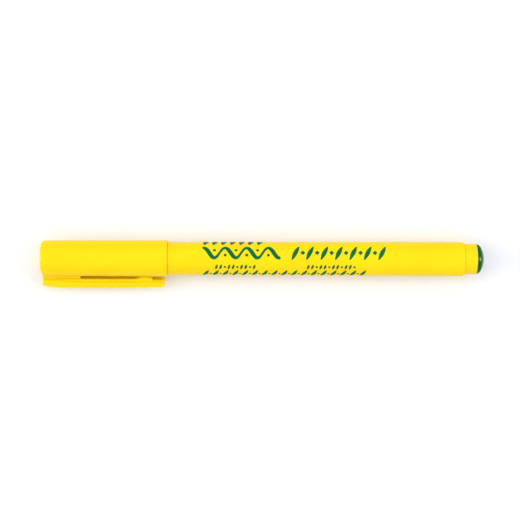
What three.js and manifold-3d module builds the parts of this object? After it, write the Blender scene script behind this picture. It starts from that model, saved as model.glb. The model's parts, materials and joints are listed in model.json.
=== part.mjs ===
// Capped fibre brush pen for calligraphy, lying on a table with its clip resting beside it.
// Millimetres, +Z up. The pen lies along X with its cap towards -X. The origin is on the table,
// in the middle of the pen's length and width.
import * as THREE from "three";
import { mergeVertices } from "three/addons/utils/BufferGeometryUtils.js";
import Module from "manifold-3d";

const wasm = await Module();
wasm.setup();

// ---- Driving dimensions ------------------------------------------------------------------

// Cap shell
const CAP_LENGTH = 38.8;
const CAP_MOUTH_RADIUS = 5.6;
const CAP_DRAFT = 0.11;          // how much smaller the closed end's radius is
const CAP_WALL = 0.8;
const CAP_END_WALL = 1.2;
const CAP_EDGE = 0.35;           // rounding of the closed end's edge
const RIM_EDGE = 0.15;           // rounding of the mouth's rim

// Barrel
const BARREL_LENGTH = 90.5;      // the visible body, from the front shoulder to the rear one
const CAP_STEP = 0.55;           // how far the cap's mouth stands proud of the barrel
const BARREL_DRAFT = 0.21;       // how much wider the rear shoulder's radius is
const BARREL_EDGE = 0.2;
const SPIGOT_LENGTH = 7.6;       // the thinner front that the cap slides over
const SPIGOT_WALL = 0.6;
const SNAP_BEAD = 0.1;           // height of the ring that holds the cap
const SNAP_BEAD_WIDTH = 1.5;
const SNAP_BEAD_SETBACK = 1.9;   // from the spigot's front edge to the ring
const NECK_LENGTH = 4.1;
const NECK_STEP = 0.59;
const NECK_CHAMFER = 0.25;
const BORE_RIBS = 4;             // ribs along the bore that centre the reservoir
const BORE_RIB_WIDTH = 0.5;

// Tail plug
const PLUG_DOME = 2.3;           // how far the head reaches past the neck
const PLUG_STEP = 0.1;           // how much smaller the head's radius is than the neck's
const PLUG_CROWN_RADIUS = 7.6;
const PLUG_SHOULDER = 0.7;       // rounding between the head's side and its crown
const PLUG_DEPTH = 6.5;
const PLUG_WALL = 1.0;

// Pocket clip
const CLIP_SETBACK = 1.1;        // from the cap's mouth back to the clip's tip
const CLIP_WIDTH = 4.0;
const CLIP_STANDOFF = 1.66;      // from the cap's mouth radius to the band's inner face
const CLIP_THICKNESS = 1.91;
const CLIP_TIP_THICKNESS = 1.64;
const CLIP_TIP_EDGE = 0.5;
const CLIP_TAPER = 18.2;         // the stretch behind the tip that thins towards it
const WEB_LENGTH = 11.7;         // the web that joins the clip to the cap
const WEB_WIDTH = 1.2;
const HEEL_RISE = 0.78;          // how much the band's start slants in towards the cap
const HEEL_RISE_LENGTH = 5.6;
const HEEL_LENGTH = 5.9;         // the deeper start of the band
const HEEL_SLOPE = 3.4;
const HEEL_DEPTH = 0.56;
const RIB_WIDTH = 2.4;
const RIB_HEIGHT = 0.36;
const TOOTH_LENGTH = 5.5;
const TOOTH_RAMP = 2.4;          // the long side of the tooth, towards the web
const TOOTH_DROP = 1.2;          // its steep side, towards the tip
const TOOTH_SETBACK = 3.8;       // from the clip's tip to the tooth
const TOOTH_GAP = 0.25;          // between the tooth and the cap

// Nib, its collar and the front section
const NIB_RADIUS = 1.75;
const NIB_REACH = 7.5;           // from the collar to the point
const NIB_FULLNESS = 1.5;        // 1 is a straight cone, more is a fuller brush
const NIB_BALL = 0.9;            // how far the bending part reaches behind its pivot
const NIB_ROOT_LENGTH = 10.0;
const COLLAR_REACH = 1.5;
const COLLAR_LENGTH = 5.5;
const COLLAR_WALL = 0.4;
const COLLAR_EDGE = 0.2;
const NOSE_WALL = 0.25;          // around the collar, at the nose's face
const NOSE_STEP = 0.4;           // from the nose's radius to the sealing stretch
const NOSE_TAPER = 2.0;
const SEAL_LENGTH = 4.0;         // the parallel stretch that the inner cap closes on
const SEAL_PAST_MOUTH = 1.0;     // how much of it stays outside the inner cap
const FLANGE_THICKNESS = 0.8;
const FLANGE_STEP = 0.3;         // how much smaller the cone's wide end is
const SECTION_TAIL = 8.8;        // the front section's spigot inside the barrel
const SECTION_WALL = 0.9;

// Inner cap
const INNER_CAP_WALL = 0.5;
const INNER_CAP_END_WALL = 1.0;
const INNER_CAP_FLANGE = 2.0;

// Ink reservoir and wick
const WICK_RADIUS = 1.0;
const WICK_IN_NIB = 2.0;
const WICK_IN_RESERVOIR = 6.0;
const FILM_THICKNESS = 0.2;
const RESERVOIR_FRONT_GAP = 1.0;
const RESERVOIR_REAR_GAP = 1.2;

// Clearances
const SEAT_GAP = 0.3;            // between faces that rest on each other
const CAP_FIT = 0.2;             // between the cap's bore and the barrel's spigot
const SEAL_FIT = 0.1;            // between the inner cap and the front section
const PRESS_FIT = 0.05;          // between pieces pressed into each other
const NIB_FIT = 0.15;            // around the nib, so that it can bend
const FILM_FIT = 0.25;           // between the film and the barrel's bore
const CHAMBER = 5.0;             // free space between the nib's point and the inner cap's end

// How finely round pieces are divided
const WIDE_SEGMENTS = 48;
const NARROW_SEGMENTS = 24;
const EDGE_STEPS = 3;
const CURVE_STEPS = 8;

// ---- Sizes that follow -------------------------------------------------------------------

const capEndRadius = CAP_MOUTH_RADIUS - CAP_DRAFT;
const capBoreMouth = CAP_MOUTH_RADIUS - CAP_WALL;
const capBoreEnd = capEndRadius - CAP_WALL;

const barrelStart = CAP_LENGTH + SEAT_GAP;
const barrelEnd = barrelStart + BARREL_LENGTH;
const neckEnd = barrelEnd + NECK_LENGTH;
const penLength = neckEnd + PLUG_DOME;
const barrelFrontRadius = CAP_MOUTH_RADIUS - CAP_STEP;
const barrelRearRadius = barrelFrontRadius + BARREL_DRAFT;
const neckRadius = barrelRearRadius - NECK_STEP;
const spigotStart = barrelStart - SPIGOT_LENGTH;
const spigotRadius = capBoreMouth - CAP_FIT;
const barrelBore = spigotRadius - SPIGOT_WALL;

const innerCapStart = CAP_END_WALL + SEAT_GAP;
const innerCapFloor = innerCapStart + INNER_CAP_END_WALL;

const nibPoint = innerCapFloor + CHAMBER;
const nibPivot = nibPoint + NIB_REACH;
const nibRootEnd = nibPivot + NIB_ROOT_LENGTH;
const nibBore = NIB_RADIUS + NIB_FIT;
const collarRadius = nibBore + COLLAR_WALL;
const collarEnd = nibPivot + COLLAR_LENGTH;

const noseFace = nibPivot + COLLAR_REACH;
const noseBore = collarRadius + PRESS_FIT;
const noseRadius = noseBore + NOSE_WALL;
const sealStart = noseFace + NOSE_TAPER;
const sealEnd = sealStart + SEAL_LENGTH;
const sealRadius = noseRadius + NOSE_STEP;
const flangeEnd = spigotStart - SEAT_GAP;
const flangeStart = flangeEnd - FLANGE_THICKNESS;
const sectionEnd = flangeEnd + SECTION_TAIL;
const sectionTailRadius = barrelBore - PRESS_FIT;
const sectionBore = sectionTailRadius - SECTION_WALL;

const innerCapMouth = sealEnd - SEAL_PAST_MOUTH;
const innerCapBore = sealRadius + SEAL_FIT;
const innerCapRadius = innerCapBore + INNER_CAP_WALL;
const innerCapFlangeRadius = capBoreEnd - SEAT_GAP;

const plugStart = neckEnd - PLUG_DEPTH;
const plugRadius = barrelBore - PRESS_FIT;
const plugHeadStart = neckEnd + PRESS_FIT;
const plugHeadRadius = neckRadius - PLUG_STEP;

const reservoirStart = sectionEnd + RESERVOIR_FRONT_GAP;
const reservoirEnd = plugStart - RESERVOIR_REAR_GAP;
const filmRadius = barrelBore - FILM_FIT;
const filmBore = filmRadius - FILM_THICKNESS;
const coreRadius = filmBore - PRESS_FIT;
const wickBore = WICK_RADIUS + PRESS_FIT;
const wickSocket = nibRootEnd - WICK_IN_NIB;
const wickHoleEnd = reservoirStart + WICK_IN_RESERVOIR;

const clipLength = CAP_LENGTH - CLIP_SETBACK;
const clipInner = CAP_MOUTH_RADIUS + CLIP_STANDOFF;
const clipOuter = clipInner + CLIP_THICKNESS;
const clipTipOuter = clipInner + CLIP_TIP_THICKNESS;
const clipArmStart = WEB_LENGTH + SEAT_GAP;
const toothEnd = clipLength - TOOTH_SETBACK;
const toothStart = toothEnd - TOOTH_LENGTH;

// The pen rolls until the clip's lower corner meets the table that the cap lies on.
const clipCorner = Math.hypot(clipOuter, CLIP_WIDTH / 2);
const clipCornerAngle = Math.atan2(CLIP_WIDTH / 2, clipOuter);
const clipTilt = Math.asin(CAP_MOUTH_RADIUS / clipCorner) - clipCornerAngle;
const clipReach = clipCorner * Math.cos(clipTilt - clipCornerAngle);

// ---- Materials ---------------------------------------------------------------------------

function finish(color, roughness) {
  return new THREE.MeshStandardMaterial({ color, roughness, metalness: 0 });
}

const yellowPlastic = finish(0xffe11a, 0.35);
const greenPlastic = finish(0x006a3a, 0.15);
const blackPlastic = finish(0x1d1f20, 0.4);
const naturalPlastic = finish(0xf1efe4, 0.45);
const inkedFibre = finish(0x0b4b33, 0.9);
const paleFibre = finish(0xcfd8c8, 0.9);
const clearFilm = finish(0xe9f1ec, 0.2);

// ---- Helpers -----------------------------------------------------------------------------

// Points on an arc of an outline, from one angle to another in degrees. 0 points along the
// pen towards its tail, and 90 points away from its axis.
function arc(along, radius, size, from, to, steps = EDGE_STEPS) {
  const points = [];
  for (let i = 0; i <= steps; i += 1) {
    const angle = THREE.MathUtils.degToRad(from + ((to - from) * i) / steps);
    points.push([along + size * Math.cos(angle), radius + size * Math.sin(angle)]);
  }
  return points;
}

// A round piece from half of its outline, a list of [distance along the pen, radius].
function turned(outline, segments = WIDE_SEGMENTS) {
  const points = outline.map(([along, radius]) => new THREE.Vector2(radius, along));
  const geometry = new THREE.LatheGeometry(points, segments);
  geometry.rotateZ(-Math.PI / 2);
  return geometry;
}

// The same for a piece with a hole right through it: its outline comes back to its start.
function turnedTube(outline, segments = WIDE_SEGMENTS) {
  return turned([...outline, outline[0]], segments);
}

// A geometry as a solid that can be joined and cut.
function solidOf(geometry) {
  const bare = geometry.clone();
  bare.deleteAttribute("normal");
  bare.deleteAttribute("uv");
  const merged = mergeVertices(bare);
  return new wasm.Manifold(
    new wasm.Mesh({
      numProp: 3,
      vertProperties: merged.attributes.position.array,
      triVerts: new Uint32Array(merged.index.array),
    }),
  );
}

// A solid back as a geometry.
function geometryOf(solid) {
  const mesh = solid.getMesh();
  const geometry = new THREE.BufferGeometry();
  geometry.setAttribute("position", new THREE.BufferAttribute(mesh.vertProperties, 3));
  geometry.setIndex(new THREE.BufferAttribute(mesh.triVerts, 1));
  geometry.computeVertexNormals();
  return geometry;
}

function piece(name, geometry, material) {
  const mesh = new THREE.Mesh(geometry, material);
  mesh.name = name;
  return mesh;
}

// ---- Pocket clip -------------------------------------------------------------------------

// A plate from its side view, a list of [distance along the pen, distance from its axis],
// turned to the clip's place beside the cap.
function clipPlate(outline, width) {
  const shape = new THREE.Shape(outline.map(([along, out]) => new THREE.Vector2(along, out)));
  const geometry = new THREE.ExtrudeGeometry(shape, { depth: width, bevelEnabled: false });
  geometry.translate(0, 0, -width / 2);
  geometry.rotateX(Math.PI + clipTilt);
  return geometry;
}

// The band is the part of the clip that shows most, from the cap's end to the rounded tip.
function clipBand() {
  const tipStart = clipLength - CLIP_TIP_EDGE;
  return clipPlate(
    [
      [0, clipOuter - HEEL_RISE],
      [HEEL_RISE_LENGTH, clipOuter],
      [clipLength - CLIP_TAPER, clipOuter],
      ...arc(tipStart, clipTipOuter - CLIP_TIP_EDGE, CLIP_TIP_EDGE, 90, 0),
      [clipLength, clipInner],
      [HEEL_LENGTH + HEEL_SLOPE, clipInner],
      [HEEL_LENGTH, clipInner - HEEL_DEPTH],
      [0, clipInner - HEEL_DEPTH],
    ],
    CLIP_WIDTH,
  );
}

// A rib under the band stiffens the arm, and ends in the tooth that grips a pocket's cloth.
function clipRib() {
  const insideBand = clipInner + CLIP_TIP_THICKNESS / 4;
  const ribInner = clipInner - RIB_HEIGHT;
  const toothPeak = CAP_MOUTH_RADIUS + TOOTH_GAP;
  return clipPlate(
    [
      [HEEL_LENGTH, insideBand],
      [toothEnd, insideBand],
      [toothEnd, clipInner],
      [toothEnd - TOOTH_DROP, toothPeak],
      [toothStart + TOOTH_RAMP, toothPeak],
      [toothStart, ribInner],
      [HEEL_LENGTH, ribInner],
    ],
    RIB_WIDTH,
  );
}

// The web is the narrow wall between the cap and the band. Its foot is sunk in the cap's wall.
function clipWeb() {
  const foot = capEndRadius - CAP_WALL / 2;
  const insideBand = clipInner + CLIP_TIP_THICKNESS / 4;
  return clipPlate(
    [
      [0, foot],
      [0, insideBand],
      [WEB_LENGTH, insideBand],
      [WEB_LENGTH, foot],
    ],
    WEB_WIDTH,
  );
}

// The stretch of the clip between two places along the pen.
function clipStretch(from, to) {
  const size = 4 * clipOuter;
  const block = new THREE.BoxGeometry(to - from, size, size);
  block.translate((from + to) / 2, 0, 0);
  const whole = solidOf(clipBand()).add(solidOf(clipRib())).add(solidOf(clipWeb()));
  return whole.intersect(solidOf(block));
}

// The free arm bends at the end of the web, so it is a piece of its own from there on.
function pocketClip() {
  return geometryOf(clipStretch(clipArmStart, CAP_LENGTH));
}

// ---- Cap ---------------------------------------------------------------------------------

function capTube() {
  const rim = CAP_LENGTH - RIM_EDGE;
  return turned([
    [0, 0],
    ...arc(CAP_EDGE, capEndRadius - CAP_EDGE, CAP_EDGE, 180, 90),
    ...arc(rim, CAP_MOUTH_RADIUS - RIM_EDGE, RIM_EDGE, 90, 0),
    [CAP_LENGTH, capBoreMouth],
    [CAP_END_WALL, capBoreEnd],
    [CAP_END_WALL, 0],
  ]);
}

function capShell() {
  const root = clipStretch(-CAP_EDGE, WEB_LENGTH);
  return geometryOf(solidOf(capTube()).add(root));
}

function innerCap() {
  const flangeBack = innerCapStart + INNER_CAP_FLANGE;
  return turned([
    [innerCapStart, 0],
    [innerCapStart, innerCapFlangeRadius],
    [flangeBack, innerCapFlangeRadius],
    [flangeBack, innerCapRadius],
    [innerCapMouth, innerCapRadius],
    [innerCapMouth, innerCapBore],
    [innerCapFloor, innerCapBore],
    [innerCapFloor, 0],
  ]);
}

// ---- Barrel ------------------------------------------------------------------------------

function barrelTube() {
  const beadStart = spigotStart + SNAP_BEAD_SETBACK;
  const beadSlope = SNAP_BEAD_WIDTH / 3;
  const beadRadius = spigotRadius + SNAP_BEAD;
  const frontEdge = barrelFrontRadius - BARREL_EDGE;
  const rearEdge = barrelRearRadius - BARREL_EDGE;
  return turnedTube([
    [spigotStart, barrelBore],
    [spigotStart, spigotRadius - BARREL_EDGE],
    [spigotStart + BARREL_EDGE, spigotRadius],
    [beadStart, spigotRadius],
    [beadStart + beadSlope, beadRadius],
    [beadStart + 2 * beadSlope, beadRadius],
    [beadStart + SNAP_BEAD_WIDTH, spigotRadius],
    [barrelStart, spigotRadius],
    ...arc(barrelStart + BARREL_EDGE, frontEdge, BARREL_EDGE, 180, 90),
    ...arc(barrelEnd - BARREL_EDGE, rearEdge, BARREL_EDGE, 90, 0),
    [barrelEnd, neckRadius],
    [neckEnd - NECK_CHAMFER, neckRadius],
    [neckEnd, neckRadius - NECK_CHAMFER],
    [neckEnd, barrelBore],
  ]);
}

// Ribs along the bore hold the reservoir in the middle and leave air channels beside it.
function boreRib(turn) {
  const height = FILM_FIT - PRESS_FIT;
  const sunk = SPIGOT_WALL / 2;
  const length = reservoirEnd - reservoirStart;
  const rib = new THREE.BoxGeometry(length, height + sunk, BORE_RIB_WIDTH);
  rib.translate(reservoirStart + length / 2, barrelBore + (sunk - height) / 2, 0);
  rib.rotateX(turn);
  return rib;
}

function barrel() {
  let solid = solidOf(barrelTube());
  for (let i = 0; i < BORE_RIBS; i += 1) {
    solid = solid.add(solidOf(boreRib((2 * Math.PI * i) / BORE_RIBS)));
  }
  return geometryOf(solid);
}

// A cup pressed into the neck, closed by a shallow crown.
function tailPlug() {
  const cupFloor = neckEnd - PLUG_WALL;
  const crownCentre = penLength - PLUG_CROWN_RADIUS;
  const shoulderRadius = plugHeadRadius - PLUG_SHOULDER;
  const reach = PLUG_CROWN_RADIUS - PLUG_SHOULDER;
  const crownAngle = THREE.MathUtils.radToDeg(Math.asin(shoulderRadius / reach));
  const shoulderCentre = crownCentre + Math.sqrt(reach ** 2 - shoulderRadius ** 2);
  return turned([
    [cupFloor, 0],
    [cupFloor, plugRadius - PLUG_WALL],
    [plugStart, plugRadius - PLUG_WALL],
    [plugStart, plugRadius],
    [plugHeadStart, plugRadius],
    [plugHeadStart, plugHeadRadius],
    ...arc(shoulderCentre, shoulderRadius, PLUG_SHOULDER, 90, crownAngle),
    ...arc(crownCentre, 0, PLUG_CROWN_RADIUS, crownAngle, 0, CURVE_STEPS).slice(1),
  ]);
}

// ---- Writing end -------------------------------------------------------------------------

// A hollow cone with a flange that stops on the barrel's front edge.
function frontSection() {
  return turnedTube([
    [noseFace, noseBore],
    [noseFace, noseRadius],
    [sealStart, sealRadius],
    [sealEnd, sealRadius],
    [flangeStart, spigotRadius - FLANGE_STEP],
    [flangeStart, spigotRadius],
    [flangeEnd, spigotRadius],
    [flangeEnd, sectionTailRadius],
    [sectionEnd, sectionTailRadius],
    [sectionEnd, sectionBore],
    [flangeStart, sectionBore],
    [wickSocket, nibBore],
    [collarEnd + PRESS_FIT, nibBore],
    [collarEnd + PRESS_FIT, noseBore],
  ]);
}

function nibCollar() {
  return turnedTube(
    [
      [nibPivot, nibBore],
      [nibPivot, collarRadius - COLLAR_EDGE],
      [nibPivot + COLLAR_EDGE, collarRadius],
      [collarEnd, collarRadius],
      [collarEnd, nibBore],
    ],
    NARROW_SEGMENTS,
  );
}

// The part of the brush that bends. Behind its pivot it is a ball, which turns in a hollow at
// the front of the held part.
function brushTip() {
  const flank = [];
  for (let i = CURVE_STEPS - 1; i > 0; i -= 1) {
    const share = i / CURVE_STEPS;
    flank.push([nibPivot - NIB_REACH * share, NIB_RADIUS * (1 - share ** NIB_FULLNESS)]);
  }
  const backAngle = THREE.MathUtils.radToDeg(Math.acos(NIB_BALL / NIB_RADIUS));
  return turned(
    [
      [nibPoint, 0],
      ...flank,
      ...arc(nibPivot, 0, NIB_RADIUS, 90, backAngle),
      [nibPivot + NIB_BALL, 0],
    ],
    NARROW_SEGMENTS,
  );
}

function brushRoot() {
  const openingAngle = THREE.MathUtils.radToDeg(Math.asin(NIB_RADIUS / nibBore));
  return turned(
    [
      [nibPivot + nibBore, 0],
      ...arc(nibPivot, 0, nibBore, 0, openingAngle, CURVE_STEPS).slice(1),
      [nibRootEnd, NIB_RADIUS],
      [nibRootEnd, wickBore],
      [wickSocket, wickBore],
      [wickSocket, 0],
    ],
    NARROW_SEGMENTS,
  );
}

function relayWick() {
  const start = wickSocket + PRESS_FIT;
  const end = wickHoleEnd - PRESS_FIT;
  return turned(
    [
      [start, 0],
      [start, WICK_RADIUS],
      [end, WICK_RADIUS],
      [end, 0],
    ],
    NARROW_SEGMENTS,
  );
}

// ---- Reservoir ---------------------------------------------------------------------------

function reservoirCore() {
  return turned(
    [
      [wickHoleEnd, 0],
      [wickHoleEnd, wickBore],
      [reservoirStart, wickBore],
      [reservoirStart, coreRadius],
      [reservoirEnd, coreRadius],
      [reservoirEnd, 0],
    ],
    NARROW_SEGMENTS,
  );
}

function reservoirFilm() {
  return turnedTube(
    [
      [reservoirStart, filmBore],
      [reservoirStart, filmRadius],
      [reservoirEnd, filmRadius],
      [reservoirEnd, filmBore],
    ],
    NARROW_SEGMENTS,
  );
}

// ---- Assembly ----------------------------------------------------------------------------

const capUnit = new THREE.Group();
capUnit.add(
  piece("cap_shell", capShell(), yellowPlastic),
  piece("pocket_clip", pocketClip(), yellowPlastic),
  piece("inner_cap", innerCap(), naturalPlastic),
);

const barrelUnit = new THREE.Group();
barrelUnit.add(
  piece("barrel", barrel(), yellowPlastic),
  piece("tail_plug", tailPlug(), greenPlastic),
  piece("reservoir_core", reservoirCore(), inkedFibre),
  piece("reservoir_film", reservoirFilm(), clearFilm),
);

const writingUnit = new THREE.Group();
writingUnit.add(
  piece("front_section", frontSection(), yellowPlastic),
  piece("nib_collar", nibCollar(), blackPlastic),
  piece("brush_tip", brushTip(), inkedFibre),
  piece("brush_root", brushRoot(), inkedFibre),
  piece("relay_wick", relayWick(), paleFibre),
);

const pen = new THREE.Group();
pen.add(capUnit, barrelUnit, writingUnit);
pen.position.set(-penLength / 2, (clipReach - CAP_MOUTH_RADIUS) / 2, CAP_MOUTH_RADIUS);

export default pen;
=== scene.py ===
# %% [markdown]
# # A capped brush pen
# A calligraphy pen lies on a white table: a yellow cap with a pocket clip, a yellow barrel with a
# printed ornament, and a green plug in its tail. Under the cap are a cone, a collar and a soft
# fibre brush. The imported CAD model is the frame: it says where every piece is and what moves.
# This lesson builds a finer mesh and a finish for each piece round that frame.

# %% Load the frame
import json
import math

import bmesh
import bpy
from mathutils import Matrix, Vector


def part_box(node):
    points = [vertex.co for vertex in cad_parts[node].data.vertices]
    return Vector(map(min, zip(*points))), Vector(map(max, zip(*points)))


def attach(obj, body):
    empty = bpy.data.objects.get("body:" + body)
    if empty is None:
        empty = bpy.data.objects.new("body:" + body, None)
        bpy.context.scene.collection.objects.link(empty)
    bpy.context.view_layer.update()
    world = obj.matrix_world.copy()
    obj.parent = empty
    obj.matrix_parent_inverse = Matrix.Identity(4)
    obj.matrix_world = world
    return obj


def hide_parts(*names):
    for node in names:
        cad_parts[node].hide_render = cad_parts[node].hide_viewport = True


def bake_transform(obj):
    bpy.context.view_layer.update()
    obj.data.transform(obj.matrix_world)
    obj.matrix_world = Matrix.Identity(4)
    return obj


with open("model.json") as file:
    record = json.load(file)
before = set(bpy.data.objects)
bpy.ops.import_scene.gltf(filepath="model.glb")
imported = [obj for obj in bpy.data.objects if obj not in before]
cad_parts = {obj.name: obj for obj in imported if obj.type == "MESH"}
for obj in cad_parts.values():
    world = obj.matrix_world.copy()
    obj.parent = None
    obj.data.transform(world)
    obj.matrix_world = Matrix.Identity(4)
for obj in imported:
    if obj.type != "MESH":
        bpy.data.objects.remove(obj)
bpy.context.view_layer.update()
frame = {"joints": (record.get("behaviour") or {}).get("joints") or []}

# %% [markdown]
# ## One way to say where things are
# Blender counts in metres, which is awkward for a pen. Every piece here is round or runs along
# the pen, so two numbers in millimetres place almost everything: the distance along the pen from
# the cap's flat end, and the distance from the pen's axis. The joint that the cap turns on lies
# on that axis, so the frame itself gives the starting point.

# %% The pen's axis and measures from the frame
MM = 0.001
joints = {joint["name"]: joint for joint in frame["joints"]}
cap_end = Vector(joints["cap_turn"]["pos_m"])


def reach(node):
    """Where a CAD node starts and ends along the pen, in mm."""
    low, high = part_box(node)
    return (low.x - cap_end.x) / MM, (high.x - cap_end.x) / MM


def radius(node):
    """The largest radius of a round CAD node, in mm."""
    return (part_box(node)[1].z - cap_end.z) / MM


def place(along, sideways, up):
    """A point in metres, from mm along the pen, sideways from its axis and above its axis."""
    return cap_end + Vector((along, sideways, up)) * MM


cap_length = reach("cap_shell")[1]
spigot_start, neck_end = reach("barrel")
pen_length = reach("tail_plug")[1]
print(f"cap {cap_length:.1f} mm, pen {pen_length:.1f} mm, cap radius {radius('cap_shell'):.2f} mm")

# %% [markdown]
# ## The camera
# The pen is seen from straight above with a long lens, so both ends look equally large. The
# camera comes early because every later look at the work is through it. A small turn about its
# own axis lets the pen's tail sink very slightly in the picture, as a pen laid down by hand does.

# %% Camera
CAMERA_LENS = 100.0
CAMERA_HEIGHT = 450.3
CAMERA_SIDESTEP = (-0.82, -0.43)
CAMERA_TURN = 0.12

camera_data = bpy.data.cameras.new("camera")
camera_data.lens = CAMERA_LENS
camera = bpy.data.objects.new("camera", camera_data)
bpy.context.scene.collection.objects.link(camera)
camera.location = (CAMERA_SIDESTEP[0] * MM, cap_end.y + CAMERA_SIDESTEP[1] * MM, CAMERA_HEIGHT * MM)
camera.rotation_euler = (0, 0, math.radians(CAMERA_TURN))
bpy.context.scene.camera = camera
print("camera at", [round(value, 4) for value in camera.location])

# %% [markdown]
# ## Writing materials as sums
# A procedural finish is arithmetic on textures. In the node editor that becomes a web of Math
# nodes, which is hard to read. Here a small class wraps one socket and lets Python's own signs
# add those nodes, so that a line of shader reads like the formula it is. A second class holds a
# material, and its one method adds any other node.

# %% Signal: a socket that can be calculated with
class Signal:
    """One output socket. Arithmetic on it adds Math nodes to its tree."""

    def __init__(self, socket):
        self.socket = socket

    def math(self, operation, first, second):
        """A Math node whose two values can be signals or numbers."""
        node = self.socket.id_data.nodes.new("ShaderNodeMath")
        node.operation = operation
        for index, value in enumerate((first, second)):
            if isinstance(value, Signal):
                self.socket.id_data.links.new(value.socket, node.inputs[index])
            else:
                node.inputs[index].default_value = value
        return Signal(node.outputs[0])

    def __add__(self, other):
        return self.math("ADD", self, other)

    def __radd__(self, other):
        return self.math("ADD", other, self)

    def __sub__(self, other):
        return self.math("SUBTRACT", self, other)

    def __rsub__(self, other):
        return self.math("SUBTRACT", other, self)

    def __mul__(self, other):
        return self.math("MULTIPLY", self, other)

    def __rmul__(self, other):
        return self.math("MULTIPLY", other, self)

    def clamped(self):
        """The same signal, kept between 0 and 1."""
        return self.math("MINIMUM", self.math("MAXIMUM", self, 0.0), 1.0)


# %% Finish: a material and the one way to add nodes to it
class Finish:
    """A material's node tree. Constants are named like the shader's sockets, in small letters."""

    def __init__(self, name, **constants):
        self.material = bpy.data.materials.new(name)
        self.material.use_nodes = True
        self.tree = self.material.node_tree
        self.shader = self.tree.nodes["Principled BSDF"]
        for constant, value in constants.items():
            label = constant.replace("_", " ").title().replace("Ior", "IOR")
            self.shader.inputs[label].default_value = value

    def add(self, kind, settings=None, inputs=None, output=0):
        """Adds a node of that kind: its settings first, then its sockets' values or links."""
        node = self.tree.nodes.new("ShaderNode" + kind)
        for setting, value in (settings or {}).items():
            if setting == "stops":
                ramp = node.color_ramp
                while len(ramp.elements) < len(value):
                    ramp.elements.new(0.5)
                for element, (position, shade) in zip(ramp.elements, value):
                    element.position = position
                    element.color = (shade, shade, shade, 1.0)
            else:
                setattr(node, setting, value)
        for socket, value in (inputs or {}).items():
            if isinstance(value, Signal):
                self.tree.links.new(value.socket, node.inputs[socket])
            else:
                node.inputs[socket].default_value = value
        return Signal(node.outputs[output])

    def position(self, stretch=(1.0, 1.0, 1.0)):
        """Where a point is on the piece, in mm, stretched along each direction."""
        coordinates = self.add("TexCoord", output="Object")
        scale = [value / MM for value in stretch]
        return self.add("VectorMath", {"operation": "MULTIPLY"}, {0: coordinates, 1: scale})

    def noise(self, size, stretch=(1.0, 1.0, 1.0), detail=2.0, roughness=0.5):
        """Soft random patches of about that size in mm."""
        inputs = {"Vector": self.position(stretch), "Scale": 1.0 / size}
        inputs.update({"Detail": detail, "Roughness": roughness})
        return self.add("TexNoise", inputs=inputs)

    def ramp(self, value, *stops):
        """Turns a value into another one through (position, result) stops."""
        return self.add("ValToRGB", {"stops": stops}, {0: value})

    def blended(self, factor, first, second):
        """A colour between two."""
        inputs = {0: factor, 6: first, 7: second}
        return self.add("Mix", {"data_type": "RGBA"}, inputs, output=2)

    def link(self, socket, value):
        """Feeds a signal into one of the shader's sockets."""
        self.tree.links.new(value.socket, self.shader.inputs[socket])

    def bumped(self, height, distance):
        """Lets a height between 0 and 1 stand out by that distance in mm."""
        inputs = {"Height": height, "Distance": distance * MM, "Strength": 1.0}
        self.link("Normal", self.add("Bump", inputs=inputs))


print("shader helpers ready")

# %% [markdown]
# ## Yellow moulded plastic
# Cap, clip, barrel and cone are all moulded in one dense yellow plastic. Its mould was blasted
# finely, which gives a satin gloss: soft, wide highlights. A flat colour would look like paint,
# so three small things vary. The pigment drifts a little from place to place, the gloss varies
# where fingers polished it, and a fine grain with a few hairlines breaks up the highlight. A
# little light also passes through the surface, which keeps the shaded side warm.

# %% Yellow plastic
YELLOW = (1.0, 0.72, 0.003, 1.0)
DEEPER_YELLOW = (0.99, 0.67, 0.002, 1.0)


def moulded(name, colour, deeper, gloss, grain, **constants):
    """A moulded plastic with drifting pigment, uneven gloss, a blasted grain and hairlines."""
    finish = Finish(name, **constants)
    drift = finish.noise(9.0, stretch=(0.4, 1.0, 1.0), detail=3.0)
    pigment = finish.ramp(drift, (0.35, 0.0), (0.75, 1.0))
    finish.link("Base Color", finish.blended(pigment, colour, deeper))
    polish = finish.noise(5.0, detail=4.0, roughness=0.6)
    hairs = finish.noise(0.9, stretch=(0.05, 1.0, 1.0), detail=1.0)
    hairline = finish.ramp(hairs, (0.68, 0.0), (0.70, 1.0), (0.72, 0.0))
    finish.link("Roughness", (gloss - 0.04 + 0.08 * polish + 0.10 * hairline).clamped())
    fine = finish.noise(0.09, detail=2.0)
    waves = finish.noise(1.6, detail=1.0)
    finish.bumped(0.55 * fine + 0.6 * waves - 0.25 * hairline, grain)
    return finish.material


yellow_plastic = moulded(
    "yellow_plastic", YELLOW, DEEPER_YELLOW, gloss=0.36, grain=0.006,
    subsurface_weight=0.1, subsurface_radius=(1.0, 0.40, 0.05), subsurface_scale=0.0008,
    specular_ior_level=0.10,
)
print("yellow plastic has", len(yellow_plastic.node_tree.nodes), "nodes")

# %% [markdown]
# ## The other plastics
# The same recipe makes the other moulded pieces, each with its own colours and gloss: the plug is
# polished dark green, the nib's collar is black, and the inner cap is undyed and milky, so more
# light passes through it.

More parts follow.
